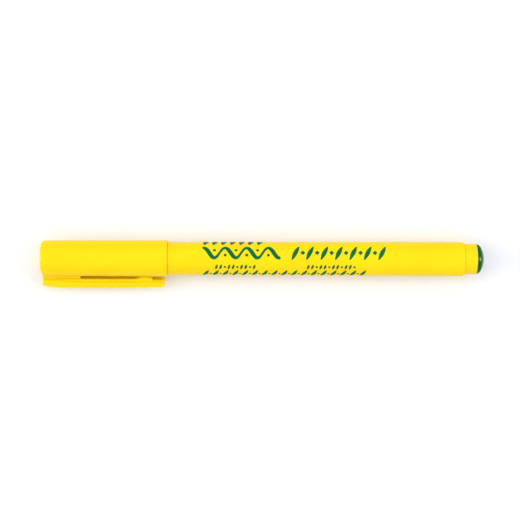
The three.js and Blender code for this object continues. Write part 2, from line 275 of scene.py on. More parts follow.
# %% Green, black and undyed plastic
green_plastic = moulded(
    "green_plastic", (0.0005, 0.100, 0.014, 1.0), (0.0005, 0.085, 0.011, 1.0),
    gloss=0.15, grain=0.001, specular_ior_level=0.12,
)
black_plastic = moulded(
    "black_plastic", (0.012, 0.013, 0.014, 1.0), (0.008, 0.008, 0.009, 1.0),
    gloss=0.38, grain=0.004,
)
natural_plastic = moulded(
    "natural_plastic", (0.84, 0.82, 0.74, 1.0), (0.80, 0.77, 0.67, 1.0),
    gloss=0.42, grain=0.005,
    subsurface_weight=0.5, subsurface_radius=(1.0, 0.8, 0.6), subsurface_scale=0.001,
)
print("moulded plastics:", green_plastic.name, black_plastic.name, natural_plastic.name)

# %% [markdown]
# ## Printing ink
# The ornament is printed on the barrel in dark green ink, which lies on the plastic as a thin
# film. Real print isn't even: the pad leaves slightly thinner places, where the film is duller
# and a trace of yellow comes through. A noise with a steep ramp gives those places.

# %% Printing ink
INK_GREEN = (0.0005, 0.145, 0.040, 1.0)
WORN_GREEN = (0.012, 0.185, 0.038, 1.0)

print_ink = Finish("print_ink", specular_ior_level=0.06)
thin_places = print_ink.ramp(print_ink.noise(0.25, detail=3.0), (0.60, 0.0), (0.80, 1.0))
print_ink.link("Base Color", print_ink.blended(thin_places, INK_GREEN, WORN_GREEN))
print_ink.link("Roughness", 0.34 + 0.16 * thin_places)
print_ink.bumped(print_ink.noise(0.12, detail=2.0), 0.003)
print("ink:", print_ink.material.name)

# %% [markdown]
# ## Fibre
# The brush, the wick and the reservoir are bundles of fine fibres bonded side by side. A noise
# stretched far along the pen draws those fibres: the same stretched noise paints shade into the gaps
# between them, as a darker colour, and lets them stand out. Soaked fibre is dark and a little wet,
# dry fibre is pale.

# %% Fibre bundles
FIBRE_STRETCH = (0.04, 1.0, 1.0)


def fibre(name, between, on_fibre, wet, dry):
    """Fibres that run along the pen, with painted shade between them, and patches of wetter ink."""
    finish = Finish(name, sheen_weight=0.15, sheen_roughness=0.5)
    strands = finish.noise(0.16, stretch=FIBRE_STRETCH, detail=3.0, roughness=0.7)
    lines = finish.ramp(strands, (0.35, 0.0), (0.65, 1.0))
    # The colour between the fibres is painted shade in the gaps, not a colour of the fibre.
    finish.link("Base Color", finish.blended(lines, between, on_fibre))
    soaked = finish.ramp(finish.noise(1.8, detail=2.0), (0.40, 0.0), (0.65, 1.0))
    finish.link("Roughness", (dry - (dry - wet) * soaked + 0.1 * lines).clamped())
    finish.bumped(lines, 0.03)
    return finish.material


# The first colour of each bundle is the painted shade between its fibres.
inked_fibre = fibre(
    "inked_fibre", (0.002, 0.028, 0.014, 1.0), (0.006, 0.085, 0.042, 1.0), wet=0.35, dry=0.75
)
pale_fibre = fibre(
    "pale_fibre", (0.30, 0.42, 0.30, 1.0), (0.66, 0.74, 0.62, 1.0), wet=0.55, dry=0.9
)
print("fibres:", inked_fibre.name, pale_fibre.name)

# %% [markdown]
# ## Clear film
# The reservoir is wrapped in a thin clear film. It shows as gloss with small creases more than as
# a colour, so most of it is left transparent and a crumpled noise dents it.

# %% Clear film
clear_film = Finish("clear_film", base_color=(0.80, 0.88, 0.83, 1.0), ior=1.45)
creases = clear_film.noise(1.2, stretch=(0.5, 1.0, 1.0), detail=4.0, roughness=0.6)
clear_film.link("Alpha", 0.25 + 0.25 * creases)
clear_film.link("Roughness", 0.08 + 0.2 * creases)
clear_film.bumped(creases, 0.05)
print("film:", clear_film.material.name)

# %% [markdown]
# ## Turned pieces
# Nearly every piece of a pen is round, so it is made as on a lathe: an outline is drawn once and
# swept about the axis. The outline is a list of corners, and a corner can ask to be rounded.
# Moulded plastic has no true edges, and it is those small roundings that catch the light. Next to
# each rounding goes one extra ring, which keeps the flat neighbour flat when it is smooth shaded.

# %% Rounding the corners of an outline
ARC_STEP = 15.0
HOLD = 0.03


def arc(along, out, size, start, end, steps=None):
    """Points on an arc between two angles: 0 points along the outline's first measure, 90 outwards."""
    steps = steps or max(2, math.ceil(abs(end - start) / ARC_STEP))
    angles = [math.radians(start + (end - start) * step / steps) for step in range(steps + 1)]
    return [(along + size * math.cos(angle), out + size * math.sin(angle)) for angle in angles]


def rounded_corner(before, corner, after, size):
    """The points that round one corner, with a holding point on each side."""
    corner, to_before, to_after = Vector(corner), Vector(before), Vector(after)
    to_before, to_after = to_before - corner, to_after - corner
    half = to_before.angle(to_after) / 2
    room = 0.45 * min(to_before.length, to_after.length)
    cut = min(size / math.tan(half), room)
    size = cut * math.tan(half)
    to_before.normalize()
    to_after.normalize()
    centre = corner + (to_before + to_after).normalized() * (size / math.sin(half))
    first, last = corner + to_before * cut, corner + to_after * cut
    steps = max(2, math.ceil(math.degrees(math.pi - 2 * half) / ARC_STEP))
    hold = min(HOLD, 0.5 * (room - cut) + 0.001)
    points = [first + to_before * hold]
    for step in range(steps + 1):
        spoke = (first - centre).slerp(last - centre, step / steps)
        points.append(centre + spoke.normalized() * size)
    return [tuple(point) for point in points + [last + to_after * hold]]


def rounded(corners, closed):
    """An outline's points from its corners, each (along, out) or (along, out, rounding)."""
    points = []
    for index, corner in enumerate(corners):
        inside = closed or 0 < index < len(corners) - 1
        if len(corner) == 3 and inside:
            before = corners[index - 1][:2]
            after = corners[(index + 1) % len(corners)][:2]
            points += rounded_corner(before, corner[:2], after, corner[2])
        else:
            points.append(corner[:2])
    return points


square = rounded([(0, 0), (1, 0, 0.2), (1, 1)], closed=False)
print("a rounded square corner has", len(square) - 2, "points")

# %% Turning an outline into a mesh
SEGMENTS = 128
SHARP_ANGLE = 32.0


def shown(name, bm, material):
    """A smooth-shaded object from a finished bmesh."""
    bmesh.ops.remove_doubles(bm, verts=bm.verts, dist=1e-7)
    bmesh.ops.dissolve_degenerate(bm, edges=bm.edges, dist=1e-8)
    bmesh.ops.recalc_face_normals(bm, faces=bm.faces)
    mesh = bpy.data.meshes.new(name)
    bm.to_mesh(mesh)
    bm.free()
    mesh.materials.append(material)
    mesh.shade_smooth()
    mesh.set_sharp_from_angle(angle=math.radians(SHARP_ANGLE))
    thing = bpy.data.objects.new(name, mesh)
    bpy.context.scene.collection.objects.link(thing)
    print(f"{name}: {len(mesh.vertices)} points, {len(mesh.polygons)} faces")
    return thing


def turned(name, corners, material, segments=SEGMENTS, tube=False, surface=None):
    """A round piece from half of its outline. A tube's outline comes back to its start.

    surface can change a point's radius, from how far along it is, its radius and its angle."""
    bm = bmesh.new()
    rings = []
    for along, out in rounded(corners, closed=tube):
        ring = []
        for turn in range(segments if out > 1e-6 else 1):
            angle = 2 * math.pi * turn / segments
            size = surface(along, out, angle) if surface else out
            ring.append(bm.verts.new(place(along, size * math.sin(angle), size * math.cos(angle))))
        rings.append(ring)
    for index in range(len(rings) if tube else len(rings) - 1):
        here, there = rings[index], rings[(index + 1) % len(rings)]
        for turn in range(segments):
            after = (turn + 1) % segments
            if len(here) == 1:
                bm.faces.new((here[0], there[turn], there[after]))
            elif len(there) == 1:
                bm.faces.new((here[turn], there[0], here[after]))
            else:
                bm.faces.new((here[turn], there[turn], there[after], here[after]))
    return shown(name, bm, material)


def stands_for(piece, body, slot, *nodes):
    """The piece rides on a body and replaces CAD nodes. Its slot argument is not used."""
    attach(piece, body)
    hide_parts(*nodes)


# %% [markdown]
# ## The cap
# The cap is a long cup. Its mould left a small round mark in the middle of the flat end, where the
# plastic came in. Its wall is slightly drafted so that it left the mould, and inside the mouth a
# low ring snaps over the barrel's ring. Turning one outline makes all of it.

# %% Cap shell
CAP_DRAFT = 0.11
CAP_WALL = 0.8
CAP_END_WALL = 1.2
CAP_END_ROUNDING = 0.8
MARK_RADIUS = 1.1
MARK_DEPTH = 0.16
MARK_DOT_DEPTH = 0.05
MARK_DOT_RADIUS = 0.36
RIM_CHAMFER = 0.10
RIM_CHAMFER_LENGTH = 0.35
SNAP_RING = 0.08
SNAP_RING_SETBACK = 3.9
RAISED_RING_SLOPE = 0.5
RAISED_RING_WIDTH = 0.5


def raised_ring(start, out, height):
    """The corners of a low ring on a turned surface, from its start towards the tail."""
    top = start + RAISED_RING_SLOPE
    end = top + RAISED_RING_WIDTH
    return [
        (start, out, 0.3),
        (top, out + height, 0.3),
        (end, out + height, 0.3),
        (end + RAISED_RING_SLOPE, out, 0.3),
    ]


cap_radius = radius("cap_shell")
cap_bore = cap_radius - CAP_WALL
cap_corners = [
    (MARK_DOT_DEPTH, 0.0),
    (MARK_DOT_DEPTH, MARK_DOT_RADIUS - 0.06, 0.04),
    (MARK_DEPTH, MARK_DOT_RADIUS, 0.04),
    (MARK_DEPTH, MARK_RADIUS - 0.15, 0.06),
    (0.0, MARK_RADIUS, 0.06),
    (0.0, cap_radius - CAP_DRAFT, CAP_END_ROUNDING),
    (cap_length, cap_radius, 0.15),
    (cap_length, cap_bore + RIM_CHAMFER, 0.05),
    (cap_length - RIM_CHAMFER_LENGTH, cap_bore, 0.10),
    *reversed(raised_ring(cap_length - SNAP_RING_SETBACK, cap_bore, -SNAP_RING)),
    (CAP_END_WALL, cap_bore - CAP_DRAFT, 0.4),
    (CAP_END_WALL, 0.0),
]
cap = turned("cap", cap_corners, yellow_plastic)
stands_for(cap, "cap", "yellow_plastic", "cap_shell")

# %% [markdown]
# ## The inner cap
# A second, undyed cup inside the cap closes on the cone in front of the barrel and keeps the brush
# from drying. It only shows when somebody looks into the cap.

# %% Inner cap
INNER_CAP_WALL = 0.5
INNER_CAP_FLANGE = 2.0
INNER_CAP_RADIUS = 3.6
INNER_CAP_END_WALL = 1.0

inner_start, inner_mouth = reach("inner_cap")
inner_bore = INNER_CAP_RADIUS - INNER_CAP_WALL
inner_cap_corners = [
    (inner_start, 0.0),
    (inner_start, radius("inner_cap"), 0.25),
    (inner_start + INNER_CAP_FLANGE, radius("inner_cap"), 0.25),
    (inner_start + INNER_CAP_FLANGE, INNER_CAP_RADIUS, 0.3),
    (inner_mouth, INNER_CAP_RADIUS, 0.2),
    (inner_mouth, inner_bore, 0.15),
    (inner_start + INNER_CAP_END_WALL, inner_bore, 0.6),
    (inner_start + INNER_CAP_END_WALL, 0.0),
]
inner_cap = turned("inner_cap_cup", inner_cap_corners, natural_plastic)
stands_for(inner_cap, "inner_cap", "natural_plastic", "inner_cap")

# %% [markdown]
# ## The pocket clip
# The clip is moulded in one with the cap: a flat band stands off the cap on a narrow web, a rib
# under the band stiffens it, and a rounded tooth near its tip grips the cloth of a pocket. The arm
# bends where the web ends. Boxes joined together would have hard corners, and bevelling a joined
# mesh often fails. So the clip is lofted: one function gives the T-shaped section at any place
# along the pen, always with the same number of points, and the sections are skinned in order.

# %% The clip's shape along its length
CLIP_HALF_WIDTH = 2.0
CLIP_OUTER = 9.17
CLIP_INNER = 7.26
CLIP_TIP_OUTER = 8.90
CLIP_TAPER = 18.2
CLIP_TIP_CORNER = 0.85
CLIP_TIP_ROUNDING = 0.7
CLIP_ROOT_ROUNDING = 0.35
TIP_UNDERCUT = 0.8
BAND_EDGE = 0.15
BAND_FILLET = 0.85
HEEL_RISE = 0.78
HEEL_RISE_LENGTH = 5.6
HEEL_INNER = 6.70
HEEL_LENGTH = 5.9
HEEL_SLOPE = 3.4
RIB_HALF_WIDTH = 1.2
RIB_INNER = 6.60
RIB_TIP_INNER = 6.95
RIB_FILLET = 0.20
RIB_INSET = 0.1
WEB_HALF_WIDTH = 0.6
WEB_LENGTH = 11.7
WEB_FLARE = 0.35
WEB_SUNK = 0.3

clip_tip = reach("pocket_clip")[1]


def share(value, start, end):
    """How far a value is from start to end, kept between 0 and 1."""
    return min(1.0, max(0.0, (value - start) / (end - start)))


def eased(value, start, end):
    """The same, starting and ending gently."""
    part = share(value, start, end)
    return part * part * (3 - 2 * part)


def inset(distance, size):
    """How far a rounded edge stands back, at a distance from the end of the piece."""
    return size - math.sqrt(size**2 - max(0.0, size - distance) ** 2)


def outer_face(along):
    """The band's outer face: it rises out of the cap's end and thins towards the tip."""
    rise = HEEL_RISE * (1 - share(along, 0.0, HEEL_RISE_LENGTH)) ** 1.3
    thinning = (CLIP_OUTER - CLIP_TIP_OUTER) * share(along, clip_tip - CLIP_TAPER, clip_tip)
    return CLIP_OUTER - rise - thinning


def inner_face(along):
    """The band's inner face: a deep heel that slopes away, quickly at first."""
    slope = share(along, HEEL_LENGTH, HEEL_LENGTH + HEEL_SLOPE)
    return HEEL_INNER + (CLIP_INNER - HEEL_INNER) * (1 - (1 - slope) ** 2)


print("clip is", round(outer_face(20) - inner_face(20), 2), "mm thick in its middle")

# %% The rib and its tooth
TOOTH_PEAK = 5.85
TOOTH_HALF_WIDTH = 1.35
TOOTH_FILLET = 0.6
TOOTH_END = clip_tip - 3.8
TOOTH_START = TOOTH_END - 5.5
TOOTH_RAMP = 2.6
TOOTH_DROP = 1.4


def tooth(along):
    """How far the tooth has risen: a long ramp towards the web and a round drop to the tip."""
    ramp = eased(along, TOOTH_START, TOOTH_START + TOOTH_RAMP)
    drop = share(along, TOOTH_END - TOOTH_DROP, TOOTH_END)
    return ramp * math.sqrt(1 - drop**2)


def rib_face(along):
    """The rib's face towards the cap, with the tooth on it. Past the tooth the rib is lower."""
    height = RIB_INNER if along < TOOTH_END - TOOTH_DROP else RIB_TIP_INNER
    foot = min(height, inner_face(along))
    return foot + (TOOTH_PEAK - foot) * tooth(along)


print("the tooth stops", round(TOOTH_PEAK - cap_radius, 2), "mm from the cap")


# %% One section of the clip
EDGE_STEPS = 5
FILLET_STEPS = 8
FLARE_STEPS = 3


def half_section(along, with_web):
    """Half of the clip's section: (across, out) from the middle of the band to the web's foot."""
    root, tip = inset(along, CLIP_ROOT_ROUNDING), inset(clip_tip - along, CLIP_TIP_ROUNDING)
    width = CLIP_HALF_WIDTH - root - inset(clip_tip - along, CLIP_TIP_CORNER)
    outer = outer_face(along) - root - tip
    inner = inner_face(along) + root + TIP_UNDERCUT * tip
    rib = min(inner, rib_face(along) + root + tip)
    height = inner - rib
    grown = tooth(along)
    rib_width = RIB_HALF_WIDTH + (TOOTH_HALF_WIDTH - RIB_HALF_WIDTH) * grown - root
    rib_width = min(rib_width, width - RIB_INSET)
    rib_fillet = min(RIB_FILLET + TOOTH_FILLET * grown, 0.8 * height + 1e-4)
    fillet = min(BAND_FILLET, width - 0.02, 0.6 * (outer - inner))
    meeting = math.degrees(math.acos(share(rib_width - width + fillet, 0.0, fillet)))
    points = [(0.0, outer), (0.5 * width, outer), (width - BAND_EDGE - HOLD, outer)]
    points += arc(width - BAND_EDGE, outer - BAND_EDGE, BAND_EDGE, 90, 0, EDGE_STEPS)
    points += [(width, outer - BAND_EDGE - HOLD), (width, inner + fillet + HOLD)]
    points += arc(width - fillet, inner + fillet, fillet, 0, -meeting, FILLET_STEPS)
    points += [(rib_width, inner - 0.15 * height), (rib_width, rib + rib_fillet + 0.1 * height)]
    points += arc(rib_width - rib_fillet, rib + rib_fillet, rib_fillet, 0, -90, EDGE_STEPS)
    web = WEB_HALF_WIDTH - 0.5 * root
    points += [(web + HOLD, rib), (web, rib)]
    surface = cap_radius - CAP_DRAFT * (1 - along / cap_length)
    foot, lowest = (surface, surface - WEB_SUNK) if with_web else (rib, rib)
    flare, hold = (WEB_FLARE, HOLD) if with_web else (0.0, 0.0)
    points += [(web, foot + flare + hold)]
    points += arc(web + flare, foot + flare, flare, 180, 270, FLARE_STEPS)
    return points + [(web + flare, lowest), (0.0, lowest)]


print("half of a section has", len(half_section(5.0, True)), "points")

# %% Skin the sections
CLIP_STEP = 0.4
across = Vector(joints["clip_flex"]["axis"])
outward = Vector((0.0, across.z, -across.y))


def clip_stations():
    """Places along the clip that get a section: even steps, and finer ones where it curves."""
    places = [CLIP_STEP * step for step in range(math.ceil(clip_tip / CLIP_STEP))]
    for angle in range(0, 90, 15):
        places.append(CLIP_ROOT_ROUNDING * (1 - math.cos(math.radians(angle))))
    for angle in range(0, 91, 10):
        places.append(clip_tip - CLIP_TIP_CORNER * (1 - math.cos(math.radians(angle))))
        places.append(TOOTH_END - TOOTH_DROP * (1 - math.sin(math.radians(angle))))
    places += [TOOTH_END + 1e-3, HEEL_LENGTH, HEEL_LENGTH + 0.1, HEEL_LENGTH + 0.2]
    places = sorted(set(round(along, 4) for along in places if abs(along - WEB_LENGTH) > 0.05))
    stations = [(along, along < WEB_LENGTH) for along in places]
    stations += [(WEB_LENGTH, True), (WEB_LENGTH + 1e-3, False)]
    return sorted(stations)


def clip_ring(bm, along, with_web):
    """One section as a ring of points: the half section and its mirror image."""
    half = half_section(along, with_web)
    whole = half + [(-side, out) for side, out in reversed(half[1:-1])]
    ring = []
    for side, out in whole:
        spot = place(along, 0, 0) + across * (side * MM) + outward * (out * MM)
        ring.append(bm.verts.new(spot))
    return ring


clip_bm = bmesh.new()
rings = [clip_ring(clip_bm, *station) for station in clip_stations()]
for here, there in zip(rings, rings[1:]):
    for index in range(len(here)):
        after = (index + 1) % len(here)
        clip_bm.faces.new((here[index], there[index], there[after], here[after]))
clip_bm.faces.new(rings[0])
clip_bm.faces.new(rings[-1])
clip = shown("clip_band", clip_bm, yellow_plastic)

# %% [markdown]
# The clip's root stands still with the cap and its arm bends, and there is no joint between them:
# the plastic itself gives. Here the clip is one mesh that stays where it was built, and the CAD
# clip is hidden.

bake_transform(clip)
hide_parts("pocket_clip")

# %% [markdown]
# ## The barrel
# The barrel is one long tube. Its front is a thinner spigot with a low ring that holds the cap,
# and its back steps down to a short neck, with a fine groove at the step. Between the two
# shoulders it widens slightly towards the tail. Four fine ribs run along the bore and keep the
# reservoir in the middle, so the surface function lets them stand out from the bore only.

# %% Barrel
FRONT_RADIUS = 5.05
SPIGOT_RADIUS = 4.6
BORE_RADIUS = 4.0
BEAD = 0.1
BEAD_SETBACK = 1.9
MOUTH_GAP = 0.08
NECK_RADIUS = 4.67
NECK_LENGTH = 4.1
NECK_EDGE = 0.3
NECK_GROOVE = 0.15
BORE_RIBS = 4
BORE_RIB_HEIGHT = 0.2

barrel_start = cap_length + MOUTH_GAP
barrel_end = neck_end - NECK_LENGTH
rear_radius = radius("barrel")
reservoir_start, reservoir_end = reach("reservoir_core")


def bore_ribs(along, out, angle):
    """The bore's radius with its ribs. Other surfaces stay round."""
    inside = out < BORE_RADIUS + 1e-3 and reservoir_start - 1 < along < reservoir_end + 1
    rib = max(0.0, math.cos(BORE_RIBS * angle)) ** 24
    return out - BORE_RIB_HEIGHT * rib if inside else out


barrel_corners = [
    (spigot_start, BORE_RADIUS, 0.15),
    (spigot_start, SPIGOT_RADIUS, 0.25),
    *raised_ring(spigot_start + BEAD_SETBACK, SPIGOT_RADIUS, BEAD),
    (barrel_start, SPIGOT_RADIUS, 0.1),
    (barrel_start, FRONT_RADIUS, 0.2),
    (barrel_end, rear_radius, 0.2),
    (barrel_end, NECK_RADIUS - NECK_GROOVE),
    (barrel_end + 2 * NECK_GROOVE, NECK_RADIUS - NECK_GROOVE, 0.05),
    (barrel_end + 2.5 * NECK_GROOVE, NECK_RADIUS, 0.05),
    (neck_end, NECK_RADIUS, NECK_EDGE),
    (neck_end, BORE_RADIUS, 0.1),
    (reservoir_end + 0.5, BORE_RADIUS),
    (reservoir_end, BORE_RADIUS),
    (reservoir_start, BORE_RADIUS),
    (reservoir_start - 0.5, BORE_RADIUS),
]
barrel = turned("barrel_tube", barrel_corners, yellow_plastic, tube=True, surface=bore_ribs)
stands_for(barrel, "barrel", "yellow_plastic", "barrel")

# %% [markdown]
# ## The tail plug
# A small polished cup closes the neck. What shows is its domed head: a low crown with a rounder
# shoulder, so a lamp beyond the tail draws one short bright glint on it.

# %% Tail plug
PLUG_HEAD_RADIUS = 4.57
PLUG_CROWN = 7.6
PLUG_SHOULDER = 1.5
PLUG_WALL = 1.0
PLUG_CUP_RADIUS = 3.95
PLUG_SEAT = 0.05

plug_start = reach("tail_plug")[0]
crown_centre = pen_length - PLUG_CROWN
shoulder_out = PLUG_HEAD_RADIUS - PLUG_SHOULDER
crown_angle = math.degrees(math.asin(shoulder_out / (PLUG_CROWN - PLUG_SHOULDER)))
shoulder_along = crown_centre + math.sqrt((PLUG_CROWN - PLUG_SHOULDER) ** 2 - shoulder_out**2)
plug_corners = [
    (neck_end - PLUG_WALL, 0.0),
    (neck_end - PLUG_WALL, PLUG_CUP_RADIUS - PLUG_WALL, 0.4),
    (plug_start, PLUG_CUP_RADIUS - PLUG_WALL, 0.15),
    (plug_start, PLUG_CUP_RADIUS, 0.25),
    (neck_end + PLUG_SEAT, PLUG_CUP_RADIUS, 0.05),
    (neck_end + PLUG_SEAT, PLUG_HEAD_RADIUS, 0.06),
    *arc(shoulder_along, shoulder_out, PLUG_SHOULDER, 90, crown_angle),
    *arc(crown_centre, 0.0, PLUG_CROWN, crown_angle, 0)[1:-1],
    *arc(crown_centre, 0.0, PLUG_CROWN, 8, 0)[1:],
]
plug = turned("plug_dome", plug_corners, green_plastic)
stands_for(plug, "barrel", "green_plastic", "tail_plug")

# %% [markdown]
# ## The cone and the collar
# Under the cap a hollow cone leads from the barrel to the brush. Its parallel stretch is where the
# inner cap closes, and its flange stops on the barrel's front edge. A black collar in its nose
# holds the brush. Both are turned.

# %% Front cone
NOSE_RADIUS = 2.6
NOSE_TAPER = 2.0
SEAL_RADIUS = 3.0
SEAL_LENGTH = 4.0
CONE_WIDE_RADIUS = 4.3
FLANGE_THICKNESS = 0.8
SECTION_WALL = 0.9
NIB_BORE = 1.9
SEAT_GAP = 0.3
FIT = 0.05

nose_face, section_end = reach("front_section")
collar_face, collar_end = reach("nib_collar")
flange_end = spigot_start - SEAT_GAP
flange_start = flange_end - FLANGE_THICKNESS
tail_radius = BORE_RADIUS - FIT
nose_bore = radius("nib_collar") + FIT
cone_corners = [
    (nose_face, nose_bore, 0.05),
    (nose_face, NOSE_RADIUS, 0.12),
    (nose_face + NOSE_TAPER, SEAL_RADIUS, 0.8),
    (nose_face + NOSE_TAPER + SEAL_LENGTH, SEAL_RADIUS, 0.8),
    (flange_start, CONE_WIDE_RADIUS, 0.2),
    (flange_start, radius("front_section"), 0.12),
    (flange_end, radius("front_section"), 0.12),
    (flange_end, tail_radius, 0.1),
    (section_end, tail_radius, 0.3),
    (section_end, tail_radius - SECTION_WALL, 0.1),
    (flange_start, tail_radius - SECTION_WALL, 0.5),
    (collar_end + 2.5, NIB_BORE, 0.5),
    (collar_end + FIT, NIB_BORE, 0.05),
    (collar_end + FIT, nose_bore, 0.05),
]
cone = turned("front_cone", cone_corners, yellow_plastic, tube=True)
stands_for(cone, "barrel", "yellow_plastic", "front_section")

# %% Collar
collar_corners = [
    (collar_face, NIB_BORE, 0.1),
    (collar_face, radius("nib_collar"), 0.2),
    (collar_end, radius("nib_collar"), 0.12),
    (collar_end, NIB_BORE, 0.08),
]
collar = turned("brush_collar", collar_corners, black_plastic, tube=True, segments=96)
stands_for(collar, "barrel", "black_plastic", "nib_collar")

# %% [markdown]
# ## The brush
# The brush is one bundle of bonded fibres, ground to a full, slightly rounded point. The frame has
# it in two nodes, the part that bends and the part that is held, but the real one has no seam. So
# it is one mesh, ribbed finely like a bundle.

# %% Brush
BRUSH_FULLNESS = 1.5
BRUSH_TIP_ROUNDING = 0.12
BRUSH_TIP_LENGTH = 0.06
BRUSH_RIBS = 30
BRUSH_RIB_DEPTH = 0.018
RING_STEP = 0.3
WICK_IN_BRUSH = 2.0

brush_point = reach("brush_tip")[0]
brush_pivot = (joints["nib_flex"]["pos_m"][0] - cap_end.x) / MM
brush_radius = radius("brush_tip")
brush_end = reach("brush_root")[1]
wick_bore = radius("relay_wick") + FIT


def brush_outline():
    """The ground point, then the even bundle in short steps."""
    points = [(brush_point, 0.0)]
    flank = brush_pivot - brush_point
    steps = round(flank / RING_STEP)
    for step in range(1, steps + 1):
        back = step / steps
        out = brush_radius * (1 - (1 - back) ** BRUSH_FULLNESS)
        points.append((brush_point + flank * back, out))
    points[1] = (brush_point + BRUSH_TIP_LENGTH, BRUSH_TIP_ROUNDING)
    bundle = brush_end - 0.5 - brush_pivot
    steps = round(bundle / RING_STEP)
    points += [(brush_pivot + bundle * step / steps, brush_radius) for step in range(1, steps)]
    points += [(brush_end, brush_radius, 0.2), (brush_end, wick_bore, 0.1)]
    return points + [(brush_end - WICK_IN_BRUSH, wick_bore), (brush_end - WICK_IN_BRUSH, 0.0)]


def bundle_ribs(along, out, angle):
    """Fine ribs round the bundle, which fade out towards the point."""
    if out < brush_radius * 0.3 or out < wick_bore + 0.1:
        return out
    wander = 0.6 * math.sin(0.7 * along + 3 * angle)
    return out - BRUSH_RIB_DEPTH * (0.5 + 0.5 * math.cos(BRUSH_RIBS * angle + wander))


brush = turned("brush", brush_outline(), inked_fibre, segments=180, surface=bundle_ribs)
place(brush_pivot + 0.6, 0, 0)
place(brush_pivot - 3.4, 0, 0)
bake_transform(brush)
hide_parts("brush_tip", "brush_root")

# %% [markdown]
# ## Ink inside the barrel
# A wick leads from the reservoir, a long bundle of soaked fibre in a clear film, to the brush.
# Nothing of it shows while the pen is whole, but whoever takes the pen apart should find it.

# %% Wick, reservoir and film
FILM_THICKNESS = 0.2

wick_start, wick_end = reach("relay_wick")
wick_corners = [
    (wick_start, 0.0),
    (wick_start, radius("relay_wick"), 0.25),
    (wick_end, radius("relay_wick"), 0.25),
    (wick_end, 0.0),
]
wick = turned("wick", wick_corners, pale_fibre, segments=48)
stands_for(wick, "barrel", "pale_fibre", "relay_wick")

core_corners = [
    (wick_end + FIT, 0.0),
    (wick_end + FIT, wick_bore, 0.1),
    (reservoir_start, wick_bore, 0.2),
    (reservoir_start, radius("reservoir_core"), 0.4),
    (reservoir_end, radius("reservoir_core"), 0.4),
    (reservoir_end, 0.0),
]
core = turned("reservoir_bundle", core_corners, inked_fibre, segments=96)
stands_for(core, "barrel", "inked_fibre", "reservoir_core")

film_bore = radius("reservoir_film") - FILM_THICKNESS
film_corners = [
    (reservoir_start, film_bore, 0.05),
    (reservoir_start, radius("reservoir_film"), 0.05),
    (reservoir_end, radius("reservoir_film"), 0.05),
    (reservoir_end, film_bore, 0.05),
]
film = turned("film_wrap", film_corners, clear_film.material, segments=96, tube=True)
stands_for(film, "barrel", "clear_film", "reservoir_film")

# %% [markdown]
# ## The printed ornament
# The barrel carries rows of printed brush marks: swelling waves, dabs, diamonds and dots, a
# pattern of practice strokes and no writing. An image would be the usual way to print. Here each
# mark is a real, very thin ribbon that follows the barrel's curve. Its centre line and its width
# are drawn flat, in mm along the barrel and mm around it, and then bent onto the surface.

# %% Ribbons on the barrel
INK_HEIGHT = 0.015
INK_SUNK = 0.02
RIBBON_STRIPS = 4
END_ANGLES = (0, 20, 40, 60, 75)


def on_barrel(along, around, height):
    """A point on the barrel: mm along it, mm around it from its top line, and mm above it."""
    size = FRONT_RADIUS + (rear_radius - FRONT_RADIUS) * share(along, barrel_start, barrel_end)
    angle = around / size
    return place(along, (size + height) * math.sin(angle), (size + height) * math.cos(angle))


def ribbon(bm, middle, directions, halves):
    """Adds one closed ribbon from the points, directions and half widths of its centre line."""
    rows = []
    for (along, around), (dx, dy), half in zip(middle, directions, halves):
        row = []
        for height in (INK_HEIGHT, -INK_SUNK):
            for strip in range(RIBBON_STRIPS + 1):
                side = half * (2 * strip / RIBBON_STRIPS - 1)
                row.append(bm.verts.new(on_barrel(along - dy * side, around + dx * side, height)))
        rows.append(row)
    wide = RIBBON_STRIPS + 1
    edge = list(range(wide)) + list(range(2 * wide - 1, wide - 1, -1))
    for here, there in zip(rows, rows[1:]):
        for first, second in zip(edge, edge[1:] + edge[:1]):
            bm.faces.new((here[first], there[first], there[second], here[second]))
    for row in (rows[0], rows[-1]):
        for strip in range(RIBBON_STRIPS):
            bm.faces.new((row[strip], row[strip + 1], row[wide + strip + 1], row[wide + strip]))


def round_end(half):
    """A mark's round end, from its tip: distances past the end, and half widths there."""
    angles = [math.radians(angle) for angle in END_ANGLES]
    return [(math.cos(angle) * half, math.sin(angle) * half) for angle in angles]


def mark(bm, curve, width, steps=2):
    """Adds a mark: curve gives a point of its centre line and width its width, from 0 to 1."""
    spots = [Vector(curve(step / steps)) for step in range(steps + 1)]
    ahead, behind = spots[1:] + spots[-1:], spots[:1] + spots[:-1]
    headings = [(after - before).normalized() for after, before in zip(ahead, behind)]
    halves = [width(step / steps) / 2 for step in range(steps + 1)]
    starts, ends = round_end(halves[0]), round_end(halves[-1])[::-1]
    middle = [spots[0] - headings[0] * back for back, half in starts] + spots
    middle += [spots[-1] + headings[-1] * on for on, half in ends]
    sizes = [half for back, half in starts] + halves + [half for on, half in ends]
    headings = headings[:1] * len(starts) + headings + headings[-1:] * len(ends)
    ribbon(bm, middle, headings, [max(size, 1e-3) for size in sizes])


print("ribbons are", INK_HEIGHT, "mm proud")


# %% The marks of the pattern
def dab(bm, along, around, tall, lean, wide):
    """A brush dab: a leaning stroke that swells in its middle."""
    mark(
        bm,
        lambda part: (along + lean * (part - 0.5), around + tall * (part - 0.5)),
        lambda part: wide * (0.35 + 0.65 * math.sin(math.pi * part)),
        steps=10,
    )


def dot(bm, along, around, size):
    """A round dot."""
    mark(bm, lambda part: (along + 0.02 * part, around), lambda part: size)


def diamond(bm, along, around, size):
    """A small upright diamond."""
    mark(
        bm,
        lambda part: (along + size * (part - 0.5), around),
        lambda part: 0.05 + size * (1 - abs(2 * part - 1)),
        steps=8,
    )


